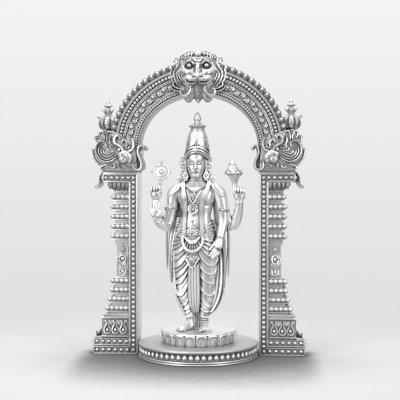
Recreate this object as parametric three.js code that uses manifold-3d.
// A four-armed standing temple figure on a lotus, on a round plinth, framed by two pilasters and an arch.
// Millimetres, +Z up. The figure faces -Y. The origin is on the floor under the middle of the plinth.

import * as THREE from 'three';
import { mergeVertices } from 'three/addons/utils/BufferGeometryUtils.js';
import Module from 'manifold-3d';

// Plinth disc
const plinthRadius = 60;
const plinthHeight = 14;
const plinthFootHeight = 3.4;
const plinthLipHeight = 2.4;
const plinthGroove = 2.8;
const plinthBeadCount = 60;
const plinthBeadWidth = 4.8;
const plinthBeadHeight = 6.6;

// Lotus pedestal
const lotusTopRadius = 37.3;
const lotusFootRadius = 34.4;
const lotusHeight = 12;
const petalCount = 20;
const petalSwell = 1.5;
const petalTipRise = 1.4;

// Figure: its pose and carving are shares of its own height
const figureHeight = 218.5;

// Pilasters, with a beaded border that returns outwards at the foot and at the impost
const frameDepth = 28;
const frameGap = 0.5;
const pilasterHeight = 183.75;
const railInner = 2.2;
const beadChannel = 5.6;
const railOuter = 1.8;
const channelDepth = 1.5;
const borderBeadSize = 3.9;
const borderBeadCount = 37;
const impostReach = 36.5;
const impostHeight = 10.6;
const impostRail = 3.2;
const impostBeadCount = 6;
const capitalHeight = 9;
const capitalFlare = 8;
const shaftReach = 22.5;
const shaftSetback = 3.6;
const neckSwell = 1.5;
const rollHeight = 6;
const upperRollTop = 161;
const upperRollCount = 5;
const upperRollPitch = 9.8;
const upperRollSwell = 4.8;
const lowerRollTop = 76.6;
const lowerRollCount = 4;
const lowerRollPitch = 9.2;
const lowerRollSwell = 5.6;
const lowerRollSpread = 4.9;
const dadoReach = 37.2;
const dadoTop = 37.7;
const dadoFoot = 17.6;
const courseReach = 46.6;
const courseHeight = 8.6;
const courseStep = 0.8;
const courseBeadCount = 7;

// Arch, with a lion mask at its crown and a makara and a full pot on each haunch
const archOverhang = 1;
const archInnerRise = 52;
const archSpring = 25.75;
const archBandSide = 31;
const archBandTop = 34;
const archSegments = 24;
const archBeadPitch = 6.8;
const archBlockPitch = 7.2;
const archBlockSize = 5.2;
const maskHalfWidth = 28;

// Finish, as cast nickel silver: bright on the figure, darker in the frame
const brightMetal = new THREE.MeshStandardMaterial({ color: 0xd6d7d4, roughness: 0.3, metalness: 1 });
const darkMetal = new THREE.MeshStandardMaterial({ color: 0xa9aba8, roughness: 0.38, metalness: 1 });

const wasm = await Module();
wasm.setup();

const turn = 2 * Math.PI;
const mergeTolerance = 1e-4;
const thinnestFace = 0.02;
const figureSlack = 0.5;
const archSlack = 0.5;
const turnedSlack = 0.02;

// The closed solid of a geometry, with shared corners merged and flat slivers dropped
function solid(geometry) {
  const bare = geometry.clone();
  bare.deleteAttribute('normal');
  bare.deleteAttribute('uv');
  const merged = mergeVertices(bare, mergeTolerance);
  const corners = merged.index.array;
  const kept = [];
  for (let i = 0; i < corners.length; i += 3) {
    const face = corners.slice(i, i + 3);
    if (new Set(face).size === 3) {
      kept.push(...face);
    }
  }
  return new wasm.Manifold(new wasm.Mesh({
    numProp: 3,
    vertProperties: new Float32Array(merged.attributes.position.array),
    triVerts: new Uint32Array(kept),
  }));
}

function join(solids) {
  return solids.reduce((whole, piece) => whole.add(piece));
}

// The same solid on the other side of the middle plane
function mirrored(whole) {
  const { vertProperties, triVerts } = whole.getMesh();
  return new wasm.Manifold(new wasm.Mesh({
    numProp: 3,
    vertProperties: vertProperties.map((value, i) => (i % 3 ? value : -value)),
    triVerts: triVerts.slice().reverse(),
  }));
}

// A closed skin over rings of points; each ring runs counter-clockwise as seen from the last ring
function skinGeometry(rings) {
  const count = rings[0].length;
  const points = rings.flat();
  const faces = [];
  for (let i = 0; i + 1 < rings.length; i += 1) {
    for (let j = 0; j < count; j += 1) {
      const low = i * count;
      const next = (j + 1) % count;
      faces.push(low + j, low + next, low + count + next);
      faces.push(low + j, low + count + next, low + count + j);
    }
  }
  const middle = (ring) => {
    return ring.reduce((sum, point) => sum.add(point), new THREE.Vector3()).divideScalar(count);
  };
  const first = points.length;
  const last = first + 1;
  const top = (rings.length - 1) * count;
  const ends = [middle(rings[0]), middle(rings[rings.length - 1])];
  for (let j = 0; j < count; j += 1) {
    const next = (j + 1) % count;
    faces.push(first, next, j);
    faces.push(last, top + j, top + next);
  }
  const geometry = new THREE.BufferGeometry().setFromPoints([...points, ...ends]);
  geometry.setIndex(faces);
  return geometry;
}

function skin(rings) {
  return solid(skinGeometry(rings));
}

function block(low, high) {
  const size = high.map((value, i) => value - low[i]);
  const geometry = new THREE.BoxGeometry(...size);
  return solid(geometry.translate(...low.map((value, i) => value + size[i] / 2)));
}

// A round or oval lump with eight or more faces
function lump(place, radii, detail = 0) {
  const geometry = new THREE.OctahedronGeometry(1, detail);
  return solid(geometry.scale(...radii).translate(...place));
}

// A round bar along a smooth curve through points, with a radius at each point
function bar(places, radii, sides = 6, steps = 2 * places.length) {
  const curve = new THREE.CatmullRomCurve3(places.map((place) => new THREE.Vector3(...place)));
  const frames = curve.computeFrenetFrames(steps);
  const rings = [];
  for (let i = 0; i <= steps; i += 1) {
    const along = i / steps;
    const middle = curve.getPoint(along);
    const reach = along * (radii.length - 1);
    const before = Math.min(Math.floor(reach), radii.length - 2);
    const radius = THREE.MathUtils.lerp(radii[before], radii[before + 1], reach - before);
    const side = curve.getTangent(along).cross(frames.binormals[i]).negate().normalize();
    const up = new THREE.Vector3().crossVectors(curve.getTangent(along), side);
    rings.push(Array.from({ length: sides }, (_, j) => {
      const angle = (turn * j) / sides;
      return middle.clone()
        .addScaledVector(side, radius * Math.cos(angle))
        .addScaledVector(up, radius * Math.sin(angle));
    }));
  }
  return skin(rings);
}

// An oval ring of points, level at height z
function oval(x, y, z, wide, deep, count) {
  return Array.from({ length: count }, (_, j) => {
    const angle = (turn * j) / count;
    return new THREE.Vector3(x + wide * Math.cos(angle), y + deep * Math.sin(angle), z);
  });
}

// A solid lofted through oval levels, each [z, x, y, half width, half depth]
function loft(levels, count) {
  return skin(levels.map(([z, x, y, wide, deep]) => oval(x, y, z, wide, deep, count)));
}

// A turned form from a profile of [radius, z] that starts and ends on the axis
function turnedGeometry(profile, segments, x = 0) {
  return skinGeometry(profile.map(([radius, z]) => oval(x, 0, z, radius, radius, segments)));
}

function turned(profile, segments, x = 0) {
  return solid(turnedGeometry(profile, segments, x));
}

// The faces of a joined skin without the corners that hold no form. A corner is drawn into a neighbour
// where it lies within the slack of each face that changes, and where no face turns over, folds flat or
// leaves the level of the floor or the top
function thin(points, faces, slack) {
  const close = 3 * thinnestFace;
  const mostTurn = 0.5;
  const around = points.map(() => new Set());
  faces.forEach((face, i) => face.forEach((corner) => around[corner].add(i)));
  const heights = points.map((point) => point.z).sort((a, b) => a - b);
  const ends = [heights[0], heights[heights.length - 1]];
  const level = (corner) => ends.findIndex((z) => Math.abs(points[corner].z - z) < mergeTolerance);
  const apart = (p, q) => points[p].distanceTo(points[q]);
  const offset = (p, q) => new THREE.Vector3().subVectors(points[q], points[p]);
  const normal = ([a, b, c]) => offset(a, b).cross(offset(a, c));
  const longest = (face) => Math.max(...face.map((corner, k) => apart(corner, face[(k + 1) % 3])));
  const ring = (corner) => {
    return new Set([...around[corner]].flatMap((i) => faces[i]).filter((other) => other !== corner));
  };
  const fits = (drop, keep, near) => {
    const shared = [...ring(keep)].filter((corner) => near.has(corner));
    if (shared.length !== 2 || (level(drop) >= 0 && level(drop) !== level(keep))) {
      return false;
    }
    return [...around[drop]].every((i) => {
      if (faces[i].includes(keep)) {
        return true;
      }
      const face = faces[i].map((corner) => (corner === drop ? keep : corner));
      const after = normal(face);
      const before = normal(faces[i]);
      const height = after.length() / longest(face);
      const sliver = before.length() / longest(faces[i]) < thinnestFace;
      const way = after.normalize();
      const off = Math.abs(way.dot(offset(keep, drop)));
      const turned = !sliver && way.dot(before.normalize()) < mostTurn;
      const sound = height > thinnestFace || (sliver && apart(keep, drop) < close);
      return sound && off < slack && !turned;
    });
  };
  let waiting = points.map((_, corner) => corner);
  while (waiting.length) {
    const touched = new Set();
    for (const drop of waiting.filter((corner) => around[corner].size)) {
      const near = ring(drop);
      const order = [...near].sort((p, q) => apart(p, drop) - apart(q, drop));
      const keep = order.find((corner) => fits(drop, corner, near));
      if (keep !== undefined) {
        for (const i of [...around[drop]]) {
          faces[i].forEach((corner) => around[corner].delete(i));
          const stays = !faces[i].includes(keep);
          faces[i] = stays ? faces[i].map((corner) => (corner === drop ? keep : corner)) : null;
          (faces[i] ?? []).forEach((corner) => around[corner].add(i));
        }
        near.forEach((corner) => touched.add(corner));
      }
    }
    waiting = [...touched];
  }
  return faces.filter(Boolean);
}

// The named mesh of a solid, thinned of the corners that its joints leave
function piece(name, whole, material, slack, scale = 1) {
  const { vertProperties, triVerts } = whole.getMesh();
  const points = Array.from({ length: vertProperties.length / 3 }, (_, i) => {
    return new THREE.Vector3().fromArray(vertProperties, 3 * i).multiplyScalar(scale);
  });
  const faces = Array.from({ length: triVerts.length / 3 }, (_, i) => {
    return [...triVerts.subarray(3 * i, 3 * i + 3)];
  });
  const geometry = new THREE.BufferGeometry().setFromPoints(points);
  geometry.setIndex(thin(points, faces, slack).flat());
  geometry.computeVertexNormals();
  const mesh = new THREE.Mesh(geometry, material);
  mesh.name = name;
  return mesh;
}

// Plinth disc: a turned foot, a grooved wall with a row of pointed beads, and a lip round a flat top
function plinthDisc() {
  const wall = plinthRadius - plinthGroove;
  const underLip = plinthHeight - plinthLipHeight;
  const edge = 0.6;
  const profile = [
    [0, 0],
    [plinthRadius, 0],
    [plinthRadius - edge, plinthFootHeight],
    [wall, plinthFootHeight + edge],
    [wall, underLip],
    [plinthRadius, underLip + edge],
    [plinthRadius - edge, plinthHeight],
    [0, plinthHeight],
  ];
  const disc = turned(profile, plinthBeadCount);
  const bead = new THREE.OctahedronGeometry(1, 0);
  const beadReach = 0.7 * plinthGroove;
  bead.scale(beadReach, plinthBeadWidth / 2, plinthBeadHeight / 2);
  bead.translate(wall * Math.cos(turn / 2 / plinthBeadCount), 0, (plinthFootHeight + underLip + edge) / 2);
  const beads = Array.from({ length: plinthBeadCount }, (_, i) => {
    return solid(bead.clone().rotateZ((turn * (i + 0.5)) / plinthBeadCount));
  });
  return join([disc, ...beads]);
}

// Lotus pedestal: one ring of broad petals that swell outwards and turn up at their tips
function lotusPedestal() {
  const samples = 3;
  const count = petalCount * samples;
  const ring = (z, radius, swell, rise) => Array.from({ length: count }, (_, j) => {
    const crown = Math.abs(Math.sin((Math.PI * j) / samples));
    const angle = (turn * j) / count;
    const reach = radius + swell * (crown - 1);
    return new THREE.Vector3(reach * Math.cos(angle), reach * Math.sin(angle), z + rise * (crown - 1));
  });
  const waist = (share) => THREE.MathUtils.lerp(lotusFootRadius, lotusTopRadius, share);
  return skin([
    ring(0, lotusFootRadius - petalSwell, petalSwell / 3, 0),
    ring(lotusHeight * 0.2, waist(0.2), petalSwell, 0),
    ring(lotusHeight * 0.75, waist(0.8), petalSwell, petalTipRise / 2),
    ring(lotusHeight, waist(1), petalSwell, petalTipRise),
    ring(lotusHeight, waist(1) - 2 * petalSwell, 0, 0),
  ]);
}

// Pilaster: a beaded border round a pier whose rolls and courses step in and out, built on the +X side
const pilasterInner = plinthRadius + frameGap;
const borderWidth = railInner + beadChannel + railOuter;
const impostFoot = pilasterHeight - impostHeight;
const beadColumn = pilasterInner + railInner + beadChannel / 2;
const beadRadius = borderBeadSize / 2;
const impostRow = pilasterHeight - impostRail - beadChannel / 2;
const courseRow = 1.5 * courseHeight;
const footRow = 0.5 * courseHeight;

// Stations [z, reach] down a stack of rolls that swell from the shaft, with a neck over and under each
function rolls(top, count, pitch, swell, spread) {
  const neck = shaftReach + neckSwell;
  const stations = [];
  for (let i = 0; i < count; i += 1) {
    const middle = top - rollHeight / 2 - i * pitch;
    const reach = shaftReach + swell + (spread * i) / (count - 1);
    stations.push(
      [middle + rollHeight / 2, neck],
      [middle + rollHeight / 4, reach],
      [middle - rollHeight / 4, reach],
      [middle - rollHeight / 2, neck],
    );
  }
  return stations;
}

// The pier: a rectangular section whose outer end follows the profile and whose front comes out with it
function pier() {
  const inner = pilasterInner + borderWidth - 1;
  const profile = [
    [impostFoot, shaftReach + capitalFlare],
    [impostFoot - capitalHeight / 2, shaftReach + capitalFlare / 2],
    [impostFoot - capitalHeight, shaftReach + neckSwell],
    ...rolls(upperRollTop, upperRollCount, upperRollPitch, upperRollSwell, 0),
    [upperRollTop - upperRollCount * upperRollPitch, shaftReach],
    [lowerRollTop + 2 * courseStep, shaftReach],
    ...rolls(lowerRollTop, lowerRollCount, lowerRollPitch, lowerRollSwell, lowerRollSpread),
    [dadoTop + 2 * courseStep, dadoReach - 4 * courseStep],
    [dadoTop, dadoReach + courseStep],
    [dadoTop - courseStep, dadoReach],
    [dadoFoot, dadoReach],
    [2 * courseHeight - courseStep, courseReach - courseStep],
    [2 * courseHeight - 2 * courseStep, courseReach],
    [courseHeight, courseReach],
    [courseHeight - courseStep / 2, courseReach - 2 * courseStep],
    [courseHeight - courseStep, courseReach - courseStep],
    [0, courseReach - courseStep],
  ];
  return skin(profile.reverse().map(([z, reach]) => {
    const front = Math.max(0, shaftSetback - 0.8 * Math.max(0, reach - shaftReach));
    const outer = pilasterInner + reach;
    return [[inner, front], [outer, front], [outer, frameDepth], [inner, frameDepth]]
      .map(([x, y]) => new THREE.Vector3(x, y, z));
  }));
}

// The sunk channels that hold the rows of beads
function borderChannels() {
  const half = beadChannel / 2;
  const channel = (x0, x1, z0, z1) => block([x0, -1, z0], [x1, channelDepth, z1]);
  const impostEnd = pilasterInner + impostReach - railOuter;
  const courseEnd = pilasterInner + courseReach - railOuter;
  return [
    channel(beadColumn - half, beadColumn + half, footRow - half, impostRow + half),
    channel(beadColumn - half, impostEnd, impostRow - half, impostRow + half),
    channel(beadColumn - half, courseEnd, footRow - half, footRow + half),
    channel(pilasterInner + borderWidth, courseEnd, courseRow - half, courseRow + half),
  ];
}

// Beads from one place to another, as many as the count
function beadRow(from, to, count) {
  const start = new THREE.Vector3(from[0], channelDepth, from[1]);
  const end = new THREE.Vector3(to[0], channelDepth, to[1]);
  return Array.from({ length: count }, (_, i) => {
    const place = start.clone().lerp(end, i / (count - 1));
    return lump(place.toArray(), [beadRadius, beadRadius, beadRadius]);
  });
}

function borderBeads() {
  const impostEnd = pilasterInner + impostReach - railOuter - beadRadius;
  const courseEnd = pilasterInner + courseReach - railOuter - beadRadius;
  return [
    ...beadRow([beadColumn, footRow], [beadColumn, impostRow], borderBeadCount),
    ...beadRow([beadColumn, impostRow], [impostEnd, impostRow], impostBeadCount).slice(1),
    ...beadRow([beadColumn, footRow], [courseEnd, footRow], courseBeadCount).slice(1),
    ...beadRow([beadColumn, courseRow], [courseEnd, courseRow], courseBeadCount).slice(1),
  ];
}

// Three drops on the dado, an oval medallion on the shaft, a leaf on the course and a bracket scroll
function pilasterTrim() {
  const dadoMiddle = pilasterInner + (borderWidth + dadoReach) / 2;
  const dadoHeight = dadoTop - dadoFoot;
  const dropPitch = (dadoReach - borderWidth) / 3;
  const drops = [-1, 0, 1].map((i) => lump(
    [dadoMiddle + i * dropPitch, 0, dadoFoot + 0.4 * dadoHeight],
    [0.36 * dropPitch, 1.2, 0.34 * dadoHeight],
  ));
  const medallion = lump([
    pilasterInner + (borderWidth + shaftReach) / 2,
    shaftSetback,
    (upperRollTop - upperRollCount * upperRollPitch + lowerRollTop) / 2,
  ], [3.6, 1.6, 5]);
  const middle = frameDepth / 2;
  const ledge = pilasterInner + courseReach;
  const leaf = bar([
    [ledge - 7.5, middle, 2 * courseHeight - 2],
    [ledge - 5, middle, 2 * courseHeight + 4],
    [ledge - 8.5, middle, 2 * courseHeight + 9],
  ], [3, 3, 0.8], 5, 3);
  const end = pilasterInner + impostReach;
  const bracket = bar([
    [end - 1, middle, pilasterHeight - 2],
    [end + 3, middle, pilasterHeight - 7],
    [end + 2, middle, pilasterHeight - 13],
    [end + 7, middle, pilasterHeight - 16],
  ], [2, 2.6, 2.2, 1.4], 5, 6);
  return [...drops, medallion, leaf, bracket];
}

function pilaster() {
  const slab = (foot, reach) => {
    return block([pilasterInner, 0, foot], [pilasterInner + reach, frameDepth, pilasterHeight]);
  };
  const border = slab(0, borderWidth);
  const impost = slab(impostFoot, impostReach);
  const carved = join([pier(), border, impost]).subtract(join(borderChannels()));
  return join([carved, ...borderBeads(), ...pilasterTrim()]);
}

// Arch: moulded bands carried along straight legs and a half ellipse, its feet on the imposts. A share
// runs from the inner edge of the band, 0, to its outer edge, 1
const archInnerHalfWidth = pilasterInner - archOverhang;

function archPoint(share, angle, y) {
  const wide = archInnerHalfWidth + archBandSide * share;
  const rise = archInnerRise + archBandTop * share;
  return new THREE.Vector3(wide * Math.cos(angle), y, archSpring + rise * Math.sin(angle));
}

function archBands() {
  const section = [
    [0, frameDepth],
    [0, 0],
    [0.06, 0],
    [0.1, 1.4],
    [0.22, 0.4],
    [0.42, 1.2],
    [0.54, -0.6],
    [0.6, 1.4],
    [0.7, 1.4],
    [0.74, -0.6],
    [0.82, 0.8],
    [0.94, 0.8],
    [0.94, frameDepth],
  ];
  const foot = (angle) => section.map(([share, y]) => archPoint(share, angle, y).setZ(0));
  const rings = [foot(0)];
  for (let i = 0; i <= archSegments; i += 1) {
    rings.push(section.map(([share, y]) => archPoint(share, (Math.PI * i) / archSegments, y)));
  }
  rings.push(foot(Math.PI));
  return skin(rings);
}

// Places at an even spacing along the arch at one share of its band, with the way they lean
function alongArch(share, pitch) {
  const wide = archInnerHalfWidth + archBandSide * share;
  const rise = archInnerRise + archBandTop * share;
  const ellipse = new THREE.EllipseCurve(0, archSpring, wide, rise, 0, Math.PI);
  const count = Math.round(ellipse.getLength() / pitch);
  return ellipse.getSpacedPoints(count).map(({ x, y }) => {
    return { x, z: y, lean: Math.atan2(x / wide, (y - archSpring) / rise) };
  });
}

function archTrim() {
  const clear = (place) => place.z > archSpring + 8 && Math.abs(place.x) > maskHalfWidth - 6;
  const beads = alongArch(0.64, archBeadPitch).filter(clear).map(({ x, z }) => {
    return lump([x, 1.4, z], [1.8, 1.9, 1.4]);
  });
  const blocks = alongArch(0.88, archBlockPitch).filter(clear).map(({ x, z, lean }) => {
    const geometry = new THREE.OctahedronGeometry(1, 0).scale(archBlockSize / 2, 3, 0.12 * archBandSide);
    return solid(geometry.rotateY(lean).translate(x, 1.2, z));
  });
  return [...beads, ...blocks];
}

// The lion mask at the crown of the arch, with eyes, muzzle, mane curls and a small pendant. Its numbers
// are shares of its half width, counted up from the inner edge of the arch and forward from its face
const maskShares = 28;
function lionMask() {
  const crown = archSpring + archInnerRise;
  const grow = maskHalfWidth / maskShares;
  const half = frameDepth / 2;
  const place = ([x, y, z]) => [grow * x, y, crown + grow * z];
  const boss = (middle, radii, detail) => lump(place(middle), radii.map((radius) => grow * radius), detail);
  const curl = (middles, radii, steps) => {
    return bar(middles.map(place), radii.map((radius) => grow * radius), 4, steps);
  };
  const face = [
    lump(place([0, half - 1, 20]), [grow * 22, half, grow * 22], 1),
    boss([0, 2, 22], [18.5, 9, 17], 1),
    curl([[0, -3, 33], [0, -6.5, 18]], [1.8, 4.2], 1),
    curl([[0, 4, 31], [0, 0, 38], [0, 0, 43]], [4, 4.4, 1.2], 2),
    curl([[0, 3, 7], [0, -1.5, -1], [0, 1, -8]], [5, 4, 1], 2),
  ];
  const cheek = [
    boss([8.2, -4.5, 28.5], [3.4, 3.4, 3.4]),
    boss([8, -3.6, 17.5], [7.4, 5.4, 5.4]),
    curl([[3, -4, 32], [9, -5, 35.5], [14.5, -2, 30]], [1.2, 2, 1], 3),
    curl([[13, 0, 27], [19, -2, 33], [25, 0, 29]], [2.6, 2.8, 1.4], 3),
    curl([[9, 1, 34], [13, -1.5, 40], [18, 0, 37]], [2.6, 2.6, 1.4], 3),
    curl([[13, 0, 19], [19, -2, 24], [24, 0, 19]], [2.6, 2.6, 1.4], 3),
    curl([[12, 2, 13], [20, -1.5, 14], [27, 0, 8]], [2.8, 2.8, 1.4], 3),
    curl([[8, 1, 9], [17, -1.5, 8], [18.5, 0, 1], [12.5, 0, 1]], [2, 2.8, 2.8, 1.4], 5),
    curl([[4, 3, 0], [9.5, 1, -5], [14, 3, -1]], [2.6, 2.6, 1.6], 3),
  ];
  const right = join(cheek);
  return [...face, right, mirrored(right)];
}

// One foot of the arch: a crouching makara whose tail and mane break into curled leaves, built on the +X
// side. Its numbers, and the pot's, are shares of the impost it sits on, counted out and up from the
// impost's inner top edge
const impostShares = 36.5;
const footGrow = impostReach / impostShares;

// A flat plate cut to an outline of [x, z], set back from both faces of the arch
function footPlate(outline, setback) {
  const shape = new THREE.Shape(outline.map(([x, z]) => {
    return new THREE.Vector2(pilasterInner + footGrow * x, footGrow * z);
  }));
  const depth = frameDepth - 2 * setback;
  const geometry = new THREE.ExtrudeGeometry(shape, { depth, bevelEnabled: false });
  return solid(geometry.rotateX(Math.PI / 2).translate(0, frameDepth - setback, 0));
}

// A curled leaf that thickens from its root and thins to its tip
function scroll(places, thick, steps) {
  const radii = [0.5, 1, 1, 0.6].map((share) => footGrow * share * thick);
  return bar(places.map(([x, y, z]) => [pilasterInner + footGrow * x, y, footGrow * z]), radii, 4, steps);
}

function makara() {
  const body = [[0, 0], [36.5, 0], [37.5, 5], [43, 10], [46, 18], [46, 25], [43, 33], [38, 40], [23.5, 40],
    [18.5, 20], [4, 20]];
  const bracket = [[3, 0], [-4, 0], [-7, 3], [-7, 8], [-3.5, 14], [-3.5, 18], [-6.5, 21], [-6, 26],
    [-1, 27.5], [1, 24]];
  const sole = block(
    [pilasterInner - 0.5, 0.5, 0],
    [pilasterInner + impostReach, frameDepth - 0.5, 5.5],
  );
  return join([
    footPlate(body, 3),
    footPlate(bracket, 1.5),
    sole,
    lump([pilasterInner + footGrow * 14, 4, footGrow * 11.5], [8.8, 8, 8.6], 1),
    scroll([[-2, 0, 9], [-5, 0, 7], [-2, 0, 4.5], [2, 1, 8], [-1, 1, 14], [1, 1, 20], [-3, 0, 24]], 2, 9),
    scroll([[35, 1, 26], [40, 1, 29], [43, 1, 24], [38, 1, 16], [27, 1, 17], [25, 2, 25], [31, 2, 31]],
      3, 9),
    scroll([[45, 5, 28], [45, 3, 18], [36, 2, 9], [22, 1, 9]], 3, 5),
    scroll([[33, 2, 14], [24, 0, 17], [17, 0, 27], [22, 1, 35], [17, 1, 38]], 3.2, 7),
    scroll([[2, 1, 26], [6, -1, 30], [9, 0, 25], [11, 0, 19]], 2.2, 5),
    scroll([[42, 4, 29], [41, 1, 35], [35, 1, 36], [33, 2, 31]], 2.6, 4),
  ]);
}

// The full pot with a flower finial that stands on each haunch, its belly in gadroons
function fullPot() {
  const x = pilasterInner + footGrow * 33;
  const y = frameDepth / 2;
  const gadroons = 6;
  const levels = [
    [37, 4.6, 0],
    [41, 3, 0],
    [44, 6, 0.8],
    [49, 8.1, 1],
    [54.5, 6.4, 0.8],
    [57, 3.4, 0],
    [60.5, 6, 1.6],
    [62, 2.2, 0],
    [66, 4.2, 1.2],
    [69, 1.8, 0],
    [73.5, 0.4, 0],
  ];
  return skin(levels.map(([z, radius, groove]) => Array.from({ length: 2 * gadroons }, (_, j) => {
    const reach = footGrow * (radius - (j % 2) * groove);
    const angle = (Math.PI * (j + 0.5)) / gadroons;
    return new THREE.Vector3(x + reach * Math.cos(angle), y + reach * Math.sin(angle), footGrow * z);
  })));
}

function arch() {
  const foot = join([makara(), fullPot()]);
  return join([archBands(), ...archTrim(), ...lionMask(), foot, mirrored(foot)]);
}

// Figure. Its numbers are shares of its height, counted from the soles. Each level of a lofted form is
// [z, x, y, half width, half depth]
const figureShares = 218.5;
const leftLeg = [
  [13, -9.4, -1, 3.4, 4.4],
  [16, -9.6, -1, 4.3, 5.2],
  [25, -10.6, -1, 6, 6.8],
  [34, -12.8, -1, 9.2, 8.4],
  [48, -13.2, -1, 9.2, 9.2],
  [60, -14, -0.6, 10.8, 10.4],
  [74, -14, -0.2, 12, 11.4],
  [88, -11, 0, 12.5, 11.6],
  [97, -8, 0, 12, 10.5],
];
const rightLeg = [
  [13, 6.3, -1.6, 3.6, 4.4],
  [16, 6.6, -1.6, 4.4, 5.2],
  [25, 7.4, -1.6, 6, 6.8],
  [35, 8.6, -1.6, 7.8, 8.2],
  [47, 9, -1.4, 8.8, 9.2],
  [60, 9.4, -1, 10.5, 10.4],
  [74, 8.6, -0.4, 12.2, 11.4],
  [88, 5.5, 0, 12.5, 11.6],
  [97, 3, 0, 12, 10.5],
];
const torsoLevels = [
  [84, -3, 0.4, 20, 11.2],
  [96, -3, 0, 18.8, 10.8],
  [107, -2.5, -0.4, 15.9, 9.4],
  [115, -2.4, -0.2, 14.4, 8.6],
  [123, -2.4, -0.2, 15.8, 9.4],
  [132, -2.4, 0, 17.8, 10.2],
  [139, -2.2, 0.4, 18.6, 9.4],
  [144, -2, 1, 16, 8],
  [148.5, -1.8, 1.2, 9.2, 6.6],
  [158, -2, 0.8, 7, 6.6],
];
const headLevels = [
  [151, -2, -4, 3.2, 3.6],
  [153.5, -2, -2.4, 6.4, 7.4],
  [159, -2, -1, 8.6, 9.4],
  [166, -2, -0.4, 9.4, 10.2],
  [173, -2, 0, 9.6, 10.2],
  [180, -2, 0, 8.8, 9.2],
];
const hairLevels = [
  [143, -1.6, 6, 13, 4],
  [150, -1.6, 5.4, 15.5, 5.6],
  [157, -1.8, 4.6, 12.6, 7.2],
  [168, -1.8, 3, 11, 8.8],
  [176, -1.4, 1.4, 10.8, 9.6],
];

// The middle and half widths of a lofted form at height z, between its levels
function levelAt(levels, z) {
  const above = levels.findIndex((level) => level[0] > z);
  const [low, high] = [levels[above - 1], levels[above]];
  const share = (z - low[0]) / (high[0] - low[0]);
  return low.map((value, i) => THREE.MathUtils.lerp(value, high[i], share));
}

// A drapery fold laid on a lofted leg: a parabola through its start, its lowest point and its end
function fold(leg, angles, heights, lowAt, thick) {
  const steps = 5;
  const places = Array.from({ length: steps + 1 }, (_, i) => {
    const along = i / steps;
    const first = ((along - lowAt) * (along - 1)) / lowAt;
    const low = (along * (along - 1)) / (lowAt * (lowAt - 1));
    const last = (along * (along - lowAt)) / (1 - lowAt);
    const z = heights[0] * first + heights[1] * low + heights[2] * last;
    const [, x, y, wide, deep] = levelAt(leg, z);
    const angle = THREE.MathUtils.degToRad(THREE.MathUtils.lerp(angles[0], angles[1], along));
    return [x + (wide - 0.2) * Math.cos(angle), y + (deep - 0.2) * Math.sin(angle), z];
  });
  return bar(places, [thick * 0.7, thick, thick * 0.7], 4, steps);
}

function drapery() {
  const folds = [];
  for (let i = 0; i < 4; i += 1) {
    const left = 79 - 9.4 * i;
    const right = 75 - 9 * i;
    folds.push(fold(leftLeg, [-39, -165], [left, left - 10, left - 8 + i], 0.7, 1.4));
    folds.push(fold(rightLeg, [-146, -10], [right + 3, right - 10, right - 1], 0.62, 1.5));
  }
  for (const leg of [leftLeg, rightLeg]) {
    folds.push(fold(leg, [-155, -25], [34, 26, 34], 0.5, 1.2));
    folds.push(fold(leg, [-155, -25], [25, 19, 25], 0.5, 1.1));
  }
  return folds;
}

// A hanging cloth with standing pleats; each level is [z, left, right, front, thickness]
function pleats(levels, count, relief) {
  return skin(levels.map(([z, left, right, front, thick]) => {
    const face = Array.from({ length: 2 * count + 1 }, (_, j) => {
      const x = THREE.MathUtils.lerp(left, right, j / (2 * count));
      return new THREE.Vector3(x, front + (j % 2 ? 0 : relief), z);
    });
    return [...face, new THREE.Vector3(right, front + thick, z), new THREE.Vector3(left, front + thick, z)];
  }));
}

// A foot from heel to toes, flat below, with five toes fanned across its front
function foot(heel, toe, wide) {
  const way = new THREE.Vector3(toe[0] - heel[0], toe[1] - heel[1], 0).normalize();
  const side = new THREE.Vector3(0, 0, 1).cross(way);
  const stations = [[0, 0.62, 4.6], [0.25, 0.8, 6.4], [0.55, 0.85, 4.6], [0.85, 1.05, 2.6], [1, 0.8, 1.6]];
  const rings = stations.map(([along, share, high]) => {
    const middle = new THREE.Vector3(...heel, 0).lerp(new THREE.Vector3(...toe, 0), along);
    return [[1, 0], [0.9, 0.55], [0, 1], [-0.9, 0.55], [-1, 0]].map(([across, up]) => {
      return middle.clone().addScaledVector(side, across * wide * share).setZ(up * high);
    });
  });
  const toes = Array.from({ length: 5 }, (_, i) => {
    const across = (i - 2) / 2.2;
    const place = new THREE.Vector3(...toe, 1.1).addScaledVector(side, across * wide);
    place.addScaledVector(way, 0.9 - 1.4 * across * across);
    return lump(place.toArray(), [1.5, 1.7, 1.1]);
  });
  return [skin(rings), ...toes];
}

function fist(x, y, z) {
  const fingers = [-1.5, -0.5, 0.5, 1.5].map((i) => lump([x + 2.5 * i, y - 3.2, z + 1.5], [1.5, 2.4, 3.6]));
  return [loft([[z - 6, x, y, 2.6, 2.6], [z, x, y, 5.6, 4.4], [z + 5, x, y, 4.2, 3.2]], 6), ...fingers];
}

// Front right hand, raised with its palm to the viewer
function raisedHand() {
  const palm = loft([
    [107, -39, -14, 3.2, 2.8],
    [112, -40.6, -15.6, 5, 2.6],
    [118, -42, -16, 4.8, 2.2],
    [121, -42, -16, 4.3, 1.8],
  ], 6);
  const reach = [7, 8.8, 9, 7.6];
  const fingers = reach.map((length, i) => {
    const x = -45.2 + 2.15 * i;
    return bar([[x, -16, 119.5], [x + 0.15 * (i - 2), -16.6, 119.5 + length]], [1.35, 0.9], 4, 1);
  });
  const thumb = bar([[-37.4, -16, 112], [-35.6, -17, 118.5]], [1.7, 1], 4, 1);
  return [palm, ...fingers, thumb];
}

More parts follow.
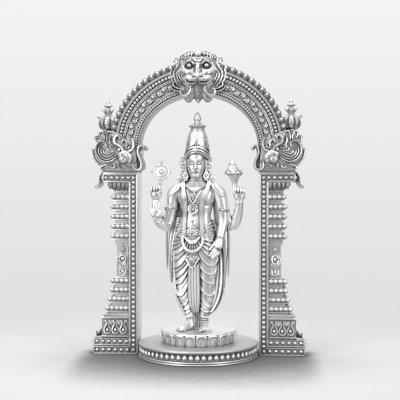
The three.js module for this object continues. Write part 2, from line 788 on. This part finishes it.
// Front left hand, laid on the hip with its fingers down and inwards
function hipHand() {
  const palm = bar([[20.3, -7, 91], [19, -10, 84], [16.4, -12.2, 79]], [3.4, 4.6, 3.8], 6, 2);
  const fingers = [0, 1, 2, 3].map((i) => {
    const knuckle = [14.6 + 1.6 * i, -13.2 + 0.9 * i, 80];
    const tip = [10.6 + 1.9 * i, -13.8 + 0.9 * i, 72.4 + 0.6 * i];
    return bar([knuckle, tip], [1.6, 1], 4, 1);
  });
  return [palm, ...fingers];
}

function arms() {
  return [
    bar([[-19, 0, 139], [-26, -1, 129], [-29.5, 0, 112], [-30, 0, 101.5], [-34, -8, 104],
      [-38.6, -14, 109]], [7, 6.4, 5.6, 5.4, 4.6, 3.4], 6, 7),
    bar([[-18, 3, 138], [-28, 5, 122], [-36.5, 6, 103.5], [-41.5, 4, 112], [-42, 0, 128], [-42, -1, 134]],
      [6.4, 5.8, 5.2, 4.8, 3.4, 3.6], 6, 7),
    bar([[16, 0, 139.5], [22.5, -1, 130], [25.4, 0, 118], [26, 0.5, 108], [20.4, -6, 90.5]],
      [7, 6.4, 5.4, 5, 3.6], 6, 6),
    bar([[15, 3, 138], [25, 5, 122], [33.5, 6, 103], [39.5, 4, 112], [41.5, 0, 126], [41.5, -1, 132]],
      [6.4, 5.8, 5.2, 4.8, 3.4, 3.6], 6, 7),
    ...fist(-42, -1.5, 138.5),
    ...fist(41, -1.5, 136.5),
    ...raisedHand(),
    ...hipHand(),
  ];
}

// Arm rings, shoulder leaves and bracelets
function armJewels() {
  const ring = (z, x, y, radius) => {
    const level = (rise, reach) => [z + rise, x, y, reach, reach];
    return loft([level(-2, radius), level(0, radius + 1.5), level(2, radius)], 6);
  };
  return [
    ring(120.5, -28.6, -0.6, 6),
    ring(119, 25.3, 0, 6),
    ring(123.5, -42, 0.3, 3.6),
    ring(123.5, 41.4, 0.6, 3.6),
    ring(90, 20.4, -6.4, 3.6),
    bar([[-11, 0, 146], [-21, -0.5, 141.5], [-28.5, -0.5, 134.5]], [5.4, 8, 7.6], 6, 2),
    bar([[7, 0, 146], [18, -0.5, 141.5], [26, -0.5, 134]], [5.4, 8, 7.6], 6, 2),
  ];
}

// Head with the face of an idealised image: plain brow, straight nose, closed lips
function head() {
  const middle = -2;
  const face = -10;
  const pair = (make) => [make(-1), make(1)];
  return [
    loft(headLevels, 12),
    bar([[middle, face + 1.2, 170], [middle, face - 0.9, 161.5]], [1, 1.7], 5, 1),
    lump([middle, face + 0.8, 157.4], [2.7, 1.6, 1.2]),
    lump([middle, face + 2.2, 153.4], [2.6, 2, 2]),
    ...pair((side) => lump([middle + 4 * side, face + 1.1, 165.6], [2.4, 1.3, 1.2])),
    ...pair((side) => lump([middle + 5.4 * side, face + 3, 159.6], [3.2, 2.4, 3.6])),
    ...pair((side) => lump([middle + 10.4 * side, -1, 164.5], [2.2, 3.4, 6.6])),
    ...pair((side) => lump([middle + 11 * side, -3, 155], [2.1, 1.6, 4])),
    loft(hairLevels, 10),
    ...pair((side) => lump([middle + 14.6 * side, -1.5, 153], [5.4, 4.4, 4.6])),
    ...pair((side) => lump([middle + 18 * side, -1.5, 149.5], [3.4, 3, 3])),
  ];
}

// Tall crown: a banded brim over the brow, a tapering body, a spreading lip and a lotus-bud finial
function crown() {
  const x = -1;
  const profile = [
    [0, 171],
    [11.6, 173],
    [12.6, 176],
    [11.8, 180],
    [12.2, 182],
    [10.6, 186],
    [9, 192],
    [6.8, 198.5],
    [6.2, 200],
    [8.6, 203.4],
    [3.6, 205.4],
    [3.2, 208],
    [4.2, 210.5],
    [3.2, 213],
    [1.6, 214.5],
    [0, 218.5],
  ];
  const fillet = bar([[-14.2, -5, 172], [-9, -10, 178], [x - 1, -12, 181], [7, -10, 178], [12, -5, 172]],
    [1.2, 1.5, 1.8, 1.5, 1.2], 4, 6);
  const jewel = lump([x - 1, -11.4, 183.5], [4, 2.4, 4.6]);
  return [turned(profile, 10, x), fillet, jewel];
}

// Chest, necklaces, breast pendant, long garland, belt with its clasp, and the knot under it
function ornaments() {
  return [
    lump([-10.6, -6.4, 133], [8.4, 5.2, 6.4]),
    lump([5.8, -6.4, 133], [8.4, 5.2, 6.4]),
    bar([[-10, -4, 148], [-8, -9, 142], [-3, -10.8, 136], [3, -9, 142], [6, -4, 148]],
      [0.8, 1.2, 1.8, 1.2, 0.8], 4, 6),
    bar([[-11, -7, 143], [-8.4, -10.6, 132], [-4.5, -11.2, 125], [1, -10.6, 132], [6, -7, 143]],
      [0.8, 1.2, 1.8, 1.2, 0.8], 4, 6),
    lump([-4.7, -10.2, 121], [4.8, 2.4, 7]),
    bar([[-13.5, -6, 145], [-11.6, -11, 130], [-11.4, -10, 112], [-14, -12.6, 90], [-5, -15.4, 77.5],
      [5, -12.6, 90], [3, -10, 112], [3.6, -11, 130], [9.5, -6, 145]],
      [1.6, 1.8, 1.8, 2, 2.2, 2, 1.8, 1.8, 1.6], 4, 14),
    loft([[87, -3, 0, 20.2, 11.6], [90, -3, 0, 21.4, 12.8], [93, -3, 0, 20, 11.6]], 12),
    loft([[94, -3, 0, 19.6, 11.4], [97.5, -3, 0, 20.6, 12.6], [101, -3, 0, 18.4, 10.8]], 12),
    lump([-5, -12.4, 97.3], [6.6, 3.2, 5]),
    lump([-5, -11.6, 88], [6, 3.4, 5.4]),
    lump([-5, -12, 69], [8, 4.2, 8]),
  ];
}

// Front pleats, the cloth behind the legs, a side scarf on each hip, and the edge of the wrapped cloth
function cloths() {
  return [
    pleats([
      [18, -4.6, 1.2, -8, 5],
      [26, -7.6, 1.6, -10.2, 8],
      [46, -9.4, 1.6, -12, 9],
      [66, -8, 0.6, -13.4, 9],
    ], 3, 1.1),
    pleats([
      [1, -5.4, 2.6, 3.4, 2.6],
      [20, -6.4, 2.8, 3, 3],
      [44, -8, 4, 2, 4],
    ], 3, 0.8),
    pleats([
      [40, -28, -21, 3.4, 2.6],
      [60, -29, -20, 3, 3.6],
      [84, -30, -18, 2.6, 4],
      [112, -27, -12, 3, 4],
    ], 3, 1.2),
    pleats([
      [37, 23, 27, 3.4, 2.6],
      [60, 20.6, 29, 3, 3.6],
      [84, 17, 31, 2.6, 4],
      [110, 11, 31, 3, 4],
    ], 3, 1.2),
    bar([[20.5, 2, 80], [23, 0, 60], [21.4, -1, 38], [17, -2, 24], [10, -3, 15]],
      [2, 2.6, 2.6, 2, 1], 4, 6),
  ];
}

// The wheel in the back right hand and the conch in the back left hand, each on a short stem
function emblems() {
  const wheel = new THREE.Vector3(-36.7, -1.5, 157.5);
  const rim = [
    [0, -1.6],
    [8.3, -1.6],
    [8.3, 1.4],
    [6.4, 1.4],
    [5.8, 0.4],
    [3.4, 0.4],
    [2.6, 2.2],
    [0, 2.2],
  ];
  const disc = turnedGeometry(rim, 14).rotateX(Math.PI / 2).translate(...wheel.toArray());
  const flames = [0, 0.25, 0.5].map((share) => {
    const x = Math.cos(turn * share);
    const z = Math.sin(turn * share);
    return lump([wheel.x + 9 * x, wheel.y, wheel.z + 9 * z], [1.5 + Math.abs(x), 1.2, 1.5 + Math.abs(z)]);
  });
  const conch = [
    [140, 36.4, 1.8],
    [148.5, 35.8, 2.2],
    [156, 35, 8.6],
    [157.4, 35, 9],
    [159, 34.8, 7.2],
    [164, 34.2, 3.6],
    [169.5, 33.3, 0.5],
  ];
  return [
    solid(disc),
    ...flames,
    bar([[-38, -1.5, 141], [-37, -1.5, 151]], [1.4, 1.8], 5, 1),
    loft(conch.map(([z, x, radius]) => [z, x, -1.5, radius, radius * 0.8]), 8),
  ];
}

function figure() {
  const ankles = [
    bar([[-9.4, -1, 17], [-9, -0.6, 10], [-8, -0.6, 3]], [3.4, 2.9, 3.6], 6, 2),
    bar([[6.3, -1.6, 17], [6.3, -1.4, 10], [6.6, -1.6, 3]], [3.4, 2.9, 3.6], 6, 2),
    loft([[5, 6.5, -1.8, 3.8, 4.2], [7, 6.4, -1.8, 5, 5.4], [9, 6.4, -1.6, 3.8, 4]], 6),
  ];
  return join([
    loft(torsoLevels, 12),
    loft(leftLeg, 10),
    loft(rightLeg, 10),
    ...drapery(),
    ...cloths(),
    ...ankles,
    ...foot([-5.5, 2.4], [-18, -12.5], 4.4),
    ...foot([6.6, 3], [8.4, -15.5], 4.6),
    ...arms(),
    ...armJewels(),
    ...head(),
    ...crown(),
    ...ornaments(),
    ...emblems(),
  ]);
}

const shrine = new THREE.Group();
const plinth = piece('base_disc', plinthDisc(), darkMetal, turnedSlack);
const lotus = piece('lotus_pedestal', lotusPedestal(), brightMetal, turnedSlack);
lotus.position.z = plinthHeight;
const standing = piece('figure', figure(), brightMetal, figureSlack, figureHeight / figureShares);
standing.position.z = plinthHeight + lotusHeight;
const support = pilaster();
const pillarLeft = piece('pillar_left', mirrored(support), darkMetal, turnedSlack);
const pillarRight = piece('pillar_right', support, darkMetal, turnedSlack);
const canopy = piece('arch', arch(), darkMetal, archSlack);
canopy.position.z = pilasterHeight;
shrine.add(plinth, lotus, standing, pillarLeft, pillarRight, canopy);

export default shrine;
